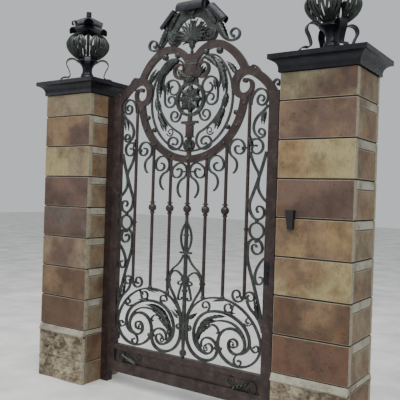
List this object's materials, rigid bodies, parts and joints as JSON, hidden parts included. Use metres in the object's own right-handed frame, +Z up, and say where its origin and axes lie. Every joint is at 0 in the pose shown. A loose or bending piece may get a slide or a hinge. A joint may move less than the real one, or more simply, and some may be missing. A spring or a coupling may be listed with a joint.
{
  "type": "wrought iron garden gate with stone-clad pillars",
  "caption": "Garden gateway: a scrolled wrought iron leaf that swings between two stone-clad pillars with metal caps and finials.",
  "frame": {"origin": "on the ground, midway between the pillars and at half their depth", "axes": "+Z up, +X to the right as seen from the street, +Y into the garden"},
  "size_m": [2.734, 0.528, 2.9776],
  "materials": {
    "sandstone": "sawn and tumbled sandstone",
    "split_stone": "split face",
    "black_metal": "satin black",
    "brown_iron": "satin brown-black",
    "patinated_iron": "forged, with a patina",
    "lamp_housing": "satin"
  },
  "bodies": {
    "posts": {"left_pillar_base": "split_stone", "right_pillar_base": "split_stone", "left_pillar_shaft": "sandstone", "right_pillar_shaft": "sandstone", "left_pillar_cap": "black_metal", "right_pillar_cap": "black_metal", "left_finial_drum": "black_metal", "right_finial_drum": "black_metal", "left_finial_straps": "black_metal", "right_finial_straps": "black_metal", "left_finial_cage": "patinated_iron", "right_finial_cage": "patinated_iron", "left_finial_crown": "black_metal", "right_finial_crown": "black_metal", "left_jamb": "brown_iron", "right_jamb": "brown_iron", "wall_lamp": "lamp_housing", "jamb_hinge_halves": "black_metal"},
    "leaf": {"left_stile": "brown_iron", "right_stile": "brown_iron", "bottom_rail": "brown_iron", "panel_rail": "brown_iron", "kick_panel": "brown_iron", "left_shoulder": "brown_iron", "right_shoulder": "brown_iron", "horseshoe_band": "brown_iron", "heart_arches": "brown_iron", "inner_ring": "patinated_iron", "ring_column": "brown_iron", "medallion_ring": "patinated_iron", "medallion_rosette": "patinated_iron", "lyre_scrolls": "patinated_iron", "pickets": "brown_iron", "outer_bars": "brown_iron", "hanging_scrolls": "patinated_iron", "left_side_scrolls": "patinated_iron", "right_side_scrolls": "patinated_iron", "left_lower_scrolls": "patinated_iron", "right_lower_scrolls": "patinated_iron", "centre_stem": "patinated_iron", "crest_scrolls": "patinated_iron", "crest_tiles": "black_metal", "crest_palmette": "patinated_iron", "lock_plate": "black_metal", "leaf_hinge_halves": "black_metal"}
  },
  "joints": [
    {"name": "leaf_swing", "type": "hinge", "parent": "posts", "child": "leaf", "pos_m": [-0.729, 0.082, 0], "axis": [0, 0, 1], "range_deg": [0, 90]}
  ]
}
